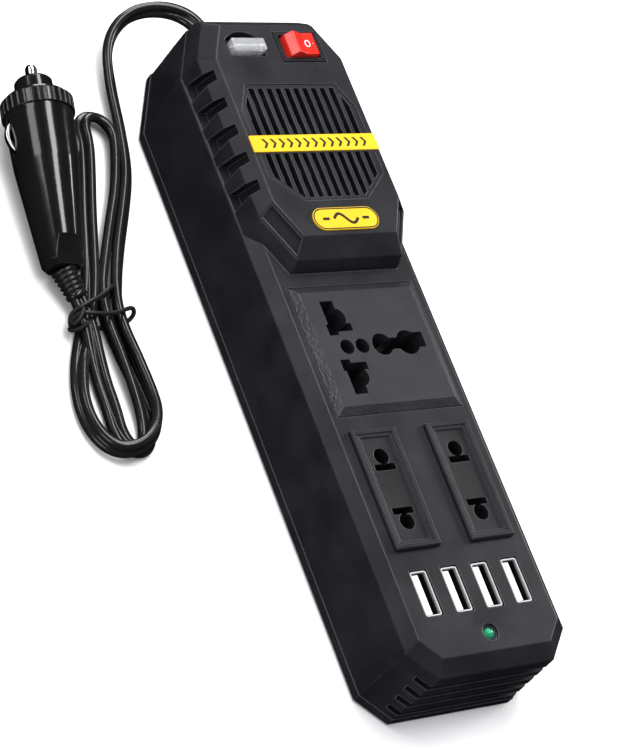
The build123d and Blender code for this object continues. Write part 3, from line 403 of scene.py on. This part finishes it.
# ---------------------------------------------------------------- cord
# The lead's route: x, y, z in metres, then how far its flat side leans up from the floor, in degrees,
# on the right of its travel. It leaves the bush, arches back beside the case, passes the tie,
# makes the wide lower loop, the narrow upper loop and a short inner fold, and ends in the plug.
CORD_ROUTE = [
    (-0.0010, 0.1035, 0.0125, 10),
    (-0.0020, 0.1115, 0.0123, 40),
    (-0.0100, 0.1176, 0.0108, 65),
    (-0.0216, 0.1174, 0.0082, 75),
    (-0.0300, 0.1095, 0.0052, 65),
    (-0.0324, 0.0960, 0.0032, 50),
    (-0.0340, 0.0820, 0.0026, 50),
    (-0.0370, 0.0680, 0.0026, 50),
    (-0.0426, 0.0560, 0.0026, 50),
    (-0.0488, 0.0440, 0.0026, 50),
    (-0.0536, 0.0330, 0.0026, 55),
    (-0.0566, 0.0225, 0.0026, 75),
    (-0.0558, 0.0100, 0.0027, 85),
    (-0.0556, 0.0000, 0.0034, 80),
    (-0.0568, -0.0080, 0.0048, 70),
    (-0.0608, -0.0142, 0.0053, 65),
    (-0.0670, -0.0174, 0.0048, 65),
    (-0.0732, -0.0158, 0.0034, 65),
    (-0.0766, -0.0088, 0.0027, 60),
    (-0.0766, 0.0000, 0.0026, 60),
    (-0.0736, 0.0090, 0.0023, 45),
    (-0.0694, 0.0165, 0.0017, 20),
    (-0.0656, 0.0230, 0.0015, 5),
    (-0.0616, 0.0320, 0.0021, 25),
    (-0.0580, 0.0430, 0.0025, 40),
    (-0.0540, 0.0560, 0.0025, 40),
    (-0.0498, 0.0680, 0.0025, 42),
    (-0.0470, 0.0770, 0.0026, 45),
    (-0.0464, 0.0836, 0.0026, 50),
    (-0.0432, 0.0866, 0.0026, 50),
    (-0.0390, 0.0856, 0.0026, 50),
    (-0.0366, 0.0806, 0.0026, 55),
    (-0.0388, 0.0725, 0.0026, 55),
    (-0.0432, 0.0615, 0.0026, 60),
    (-0.0492, 0.0505, 0.0026, 65),
    (-0.0546, 0.0400, 0.0026, 70),
    (-0.0590, 0.0310, 0.0026, 75),
    (-0.0608, 0.0220, 0.0027, 80),
    (-0.0602, 0.0120, 0.0026, 70),
    (-0.0596, 0.0030, 0.0024, 50),
    (-0.0592, -0.0050, 0.0020, 25),
    (-0.0598, -0.0112, 0.0016, 5),
    (-0.0620, -0.0156, 0.0015, 0),
    (-0.0662, -0.0158, 0.0015, 0),
    (-0.0686, -0.0112, 0.0017, 10),
    (-0.0684, -0.0040, 0.0023, 35),
    (-0.0686, 0.0040, 0.0026, 40),
    (-0.0682, 0.0120, 0.0034, 25),
    (-0.0676, 0.0190, 0.0042, 8),
    (-0.0675, 0.0250, 0.0043, 5),
    (-0.0681, 0.0296, 0.0045, 5),
]
CORE_RADIUS = 1.36 * MM
CORE_OFFSET = 1.16 * MM
CORE_POINTS = 13
SEARCH_POINTS = 40


def lead_section():
    """The twin lead's outline: two round cores side by side with a groove between them."""
    opening = acos(-CORE_OFFSET / CORE_RADIUS)
    right = []
    for step in range(CORE_POINTS):
        angle = -opening + 2 * opening * step / (CORE_POINTS - 1)
        right.append((CORE_OFFSET + CORE_RADIUS * cos(angle), CORE_RADIUS * sin(angle)))
    left = [(-across, -out) for across, out in right[1:-1]]
    return right + left


def make_lead(finish):
    """The flat twin lead, turned about its line as it leans."""
    controls = [Vector(row[:3]) for row in CORD_ROUTE]
    line = smooth_line(controls)
    places = np.array(line)
    nearest = []
    for control in controls:
        start = nearest[-1] if nearest else 0
        away = np.linalg.norm(places[start : start + SEARCH_POINTS] - np.array(control), axis=1)
        nearest.append(start + int(np.argmin(away)))
    leans = np.interp(range(len(line)), nearest, [radians(row[3]) for row in CORD_ROUTE])
    section = lead_section()
    rings = []
    for place, ahead, lean in zip(line, directions(line), leans):
        right = ahead.cross(UP).normalized()
        wide = right * cos(lean) + right.cross(ahead) * sin(lean)
        thin = ahead.cross(wide)
        rings.append([place + wide * across + thin * out for across, out in section])
    vertices, faces = loop_tube(rings)
    lead = add_piece("twin_lead", vertices, faces, finish, "case")
    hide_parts("cord_lead", "cord_hank")
    return lead, line


TIE_RADIUS = 0.62 * MM
TIE_SIDES = 10
# the tie's routes, x, y, z in millimetres
TIE_ROUTES = {
    # two turns round the bundle, the second slanting, with a loop standing out at each side
    "tie_turns": [
        (-70.6, 20.6, 3.0), (-71.4, 22.6, 4.6), (-69.6, 22.8, 6.7), (-65.6, 21.6, 7.3), (-60.0, 21.8, 6.4),
        (-56.2, 23.0, 6.2), (-53.0, 23.9, 5.4), (-52.1, 22.8, 3.6), (-53.4, 21.8, 1.6), (-57.0, 21.2, 0.75),
        (-64.0, 20.8, 0.75), (-69.6, 20.4, 0.9), (-72.2, 21.2, 2.6), (-72.0, 23.6, 4.8), (-69.0, 24.6, 7.0),
        (-65.0, 26.0, 7.2), (-61.0, 28.0, 6.0), (-57.6, 30.4, 5.6), (-55.4, 31.6, 3.6), (-55.6, 30.4, 1.4),
        (-59.0, 27.6, 0.75), (-65.0, 24.4, 0.75), (-70.0, 22.0, 0.9), (-72.6, 20.2, 2.2), (-72.4, 19.0, 4.0),
        (-70.4, 18.6, 5.6), (-69.0, 19.8, 6.6),
    ],
    "tie_tail": [
        (-69.4, 23.4, 7.4), (-70.8, 21.2, 7.4), (-72.6, 19.6, 6.0), (-73.2, 21.0, 4.2), (-71.8, 22.4, 3.6),
    ],
}


def make_tie(finish):
    """The coated twist tie, bent round the bundle with its ends wrapped about each other."""
    made = []
    for name, route in TIE_ROUTES.items():
        line = smooth_line([Vector(place) * MM for place in route])
        rings = []
        for place, ahead in zip(line, directions(line)):
            if rings:
                side = (side - ahead * side.dot(ahead)).normalized()
            else:
                side = ahead.orthogonal().normalized()
            other = ahead.cross(side)
            angles = np.arange(TIE_SIDES) * 2 * pi / TIE_SIDES
            rings.append([place + (side * cos(t) + other * sin(t)) * TIE_RADIUS for t in angles])
        vertices, faces = loop_tube(rings)
        made.append(add_piece(name, vertices, faces, finish, "case"))
    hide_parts("cord_tie")
    return made


# ---------------------------------------------------------------- plug strain relief
RELIEF_ROOT = Vector((-0.0703, 0.0362, 0.0060))
RELIEF_MOUTH = Vector((-0.0679, 0.0284, 0.0043))
RELIEF_RIBS = 5
RELIEF_SIDES = 32
# the lead inside is flat, so the relief is a little wider than it is tall
RELIEF_WIDE, RELIEF_TALL = 1.06, 0.94


def axis_frame(start, end):
    """A unit vector from start to end and two across it."""
    ahead = (end - start).normalized()
    side = ahead.cross(UP).normalized()
    return ahead, side, side.cross(ahead)


def make_relief(finish):
    """The plug's strain relief: a tapered sleeve with grooves cut round it."""
    ahead, side, up = axis_frame(RELIEF_ROOT, RELIEF_MOUTH)
    length = (RELIEF_MOUTH - RELIEF_ROOT).length
    # share of the way along, then radius in millimetres
    profile = [(0.0, 3.55)]
    for rib in range(RELIEF_RIBS):
        at = 0.12 + 0.16 * rib
        outer = 3.55 - 0.15 * rib
        groove = outer - 0.42
        profile += [(at, outer), (at + 0.025, groove), (at + 0.07, groove), (at + 0.095, outer)]
    profile += [(0.95, 2.85), (1.0, 2.75), (1.0, 2.3)]
    rings = []
    for share, radius in profile:
        centre = RELIEF_ROOT + ahead * length * share
        ring = []
        for step in range(RELIEF_SIDES):
            angle = 2 * pi * step / RELIEF_SIDES
            across = side * cos(angle) * RELIEF_WIDE + up * sin(angle) * RELIEF_TALL
            ring.append(centre + across * radius * MM)
        rings.append(ring)
    vertices, faces = loop_tube(rings)
    relief = add_piece("ribbed_relief", vertices, faces, finish, "case")
    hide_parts("plug_strain_relief")
    return relief


# ---------------------------------------------------------------- printed marks
RAY_START = 0.01


def surface_height(node):
    """A function that gives the highest z of a CAD node at a place."""
    mesh = nodes[node].data
    mesh.calc_loop_triangles()
    corners = [tuple(t.vertices) for t in mesh.loop_triangles]
    tree = BVHTree.FromPolygons([v.co for v in mesh.vertices], corners)

    def height(x, y):
        return tree.ray_cast(Vector((x, y, cad_high.z + RAY_START)), -UP)[0].z

    return height


def make_print(name, node, outlines, finish, body, thickness=0.05 * MM):
    """Thin raised marks that follow a node's top: each outline is a list of places in metres."""
    height = surface_height(node)
    vertices, faces = [], []
    for outline in outlines:
        count = len(outline)
        first = len(vertices)
        for lift in (-thickness, thickness):
            vertices += [Vector((x, y, height(x, y) + lift)) for x, y in outline]
        faces.append(tuple(first + k for k in range(count)))
        faces.append(tuple(first + count + k for k in range(count)))
        for k in range(count):
            after = (k + 1) % count
            faces.append((first + k, first + after, first + count + after, first + count + k))
    return add_piece(name, vertices, faces, finish, body, smooth=False)


def ribbon(points, width):
    """The outline of a band of one width along a line of places."""
    line = [Vector((*point, 0)) for point in points]
    left, right = [], []
    for place, ahead in zip(line, directions(line)):
        across = Vector((-ahead.y, ahead.x, 0)) * width / 2
        left.append((place.x + across.x, place.y + across.y))
        right.append((place.x - across.x, place.y - across.y))
    return left + right[::-1]


def centre_of(node):
    """The middle of a node's box."""
    low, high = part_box(node)
    return (low + high) / 2


BORDER_WIDTH = 0.36 * MM
BORDER_INSET = 0.35 * MM
WAVE_WIDTH = 0.85 * MM
WAVE_STEPS = 24
WAVE_LENGTH = 8.0 * MM
WAVE_HEIGHT = 1.5 * MM
MARK_WIDTH = 0.3 * MM
CHEVRON_COUNT = 13
CHEVRON_PITCH = 2.75 * MM


def bar_marks():
    """A row of chevrons along the bar, in place of words."""
    middle = centre_of("name_bar")
    outlines = []
    tall, wide, thick = 1.45 * MM, 0.95 * MM, 0.85 * MM
    for index in range(CHEVRON_COUNT):
        x = middle.x + (index - (CHEVRON_COUNT - 1) / 2) * CHEVRON_PITCH
        outlines.append(
            [
                (x - wide, middle.y + tall),
                (x - wide + thick, middle.y + tall),
                (x + wide, middle.y),
                (x - wide + thick, middle.y - tall),
                (x - wide, middle.y - tall),
                (x + wide - thick, middle.y),
            ]
        )
    return outlines


def badge_marks():
    """A border line and an alternating-current wave on the badge."""
    low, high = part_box("rating_badge")
    middle = (low + high) / 2
    radius = (high.y - low.y) / 2 - BORDER_INSET
    straight = (high.x - low.x) / 2 - radius - BORDER_INSET
    outlines = []
    for side in (1, -1):
        arc = [(-pi / 2 + pi * step / 12) for step in range(13)]
        end = [(middle.x + side * (straight + radius * cos(t)), middle.y + radius * sin(t)) for t in arc]
        outlines.append(ribbon(end, BORDER_WIDTH))
        edge_y = middle.y + side * radius
        edge = [(middle.x - straight, edge_y), (middle.x + straight, edge_y)]
        outlines.append(ribbon(edge, BORDER_WIDTH))
    wave = []
    for step in range(WAVE_STEPS + 1):
        share = step / WAVE_STEPS
        height = sin(2 * pi * share) * WAVE_HEIGHT
        wave.append((middle.x + (share - 0.5) * WAVE_LENGTH, middle.y + height))
    outlines.append(ribbon(wave, WAVE_WIDTH))
    for side in (1, -1):
        x = middle.x + side * 6.6 * MM
        dash = [(x - 1.1 * MM, middle.y), (x + 1.1 * MM, middle.y)]
        outlines.append(ribbon(dash, WAVE_WIDTH))
    return outlines


def make_prints():
    """The dark marks of the two yellow labels and the pale on and off marks of the rocker."""
    ink = finish_material("label_ink", (0.02, 0.014, 0.006), 0.45, edge=0.00005)
    pale = finish_material("rocker_ink", (0.9, 0.8, 0.78), 0.4, edge=0.00005, edge_gain=1.0)
    make_print("bar_marks", "name_bar", bar_marks(), ink, "case")
    make_print("badge_marks", "rating_badge", badge_marks(), ink, "case")
    middle = centre_of("switch_rocker")
    ring = []
    for half in (0, 1):
        arc = [pi * half + pi * step / 12 for step in range(13)]
        line = [(middle.x + (1.6 + 0.75 * cos(t)) * MM, middle.y + sin(t) * MM) for t in arc]
        ring.append(ribbon(line, MARK_WIDTH))
    dash = ribbon([(middle.x + 3.3 * MM, middle.y), (middle.x + 4.4 * MM, middle.y)], MARK_WIDTH)
    make_print("rocker_marks", "switch_rocker", ring + [dash], pale, "rocker")


# ---------------------------------------------------------------- studio
FLOOR_SIZE = 6.0
FLOOR_GAP = 0.0001
SKY_COLOUR = (0.95, 0.96, 1.0, 1)
SKY_STRENGTH = 0.62


def area_light(name, place, aim, size, power, glossy=True, length=None):
    """A soft light that points at aim; without glossy it gives light but no reflection of itself."""
    data = bpy.data.lights.new(name, "AREA")
    data.shape = "RECTANGLE"
    data.size = size
    data.size_y = length or size
    data.energy = power
    light = bpy.data.objects.new(name, data)
    light.location = place
    light.visible_glossy = glossy
    light.rotation_mode = "QUATERNION"
    light.rotation_quaternion = (Vector(aim) - Vector(place)).to_track_quat("-Z", "Y")
    scene.collection.objects.link(light)


def make_studio():
    """A pale floor and surround, both hidden from reflections, and soft lights."""
    floor_height = cad_low.z - FLOOR_GAP
    bpy.ops.mesh.primitive_plane_add(size=FLOOR_SIZE, location=(0, 0, floor_height))
    floor = bpy.context.object
    floor.name = "floor"
    graph = Graph("floor_finish")
    tone = graph.blend(graph.noise(0.4), (0.86, 0.865, 0.87), (0.9, 0.9, 0.9))
    graph.link(tone, graph.shader.inputs["Base Color"])
    graph.shader.inputs["Roughness"].default_value = 0.7
    graph.shader.inputs["Specular IOR Level"].default_value = 0.2
    floor.data.materials.append(graph.material)
    floor.visible_glossy = False
    world = bpy.data.worlds.new("surround")
    world.use_nodes = True
    background = world.node_tree.nodes["Background"]
    background.inputs["Color"].default_value = SKY_COLOUR
    background.inputs["Strength"].default_value = SKY_STRENGTH
    scene.world = world
    world.cycles_visibility.glossy = False
    area_light("overhead", (-0.1, 0.3, 1.2), (0, 0, 0), 0.8, 10.0, glossy=False)
    area_light("plug_box", (0.06, 0.3, 1.0), (-0.05, 0.05, 0), 0.26, 7.0, length=1.1)
    area_light("end_box", (0.15, 1.0, 0.4), (0, 0.05, 0), 0.45, 4.5)
    area_light("right_box", (1.0, 0.15, 0.4), (0, 0, 0), 0.4, 4.5)
    area_light("left_box", (-0.6, 0.45, 0.5), (-0.03, 0, 0), 0.3, 0.9)
    area_light("low_left_box", (-0.95, -0.35, 0.35), (0, -0.05, 0), 0.4, 1.6)
    scene.view_settings.view_transform = "Standard"


make_camera()
finishes = make_finishes()
dress_nodes(finishes)
lead, lead_line = make_lead(finishes["cord_pvc"])
tie = make_tie(finishes["tie_wire"])
relief = make_relief(finishes["cord_pvc"])
make_prints()
make_studio()
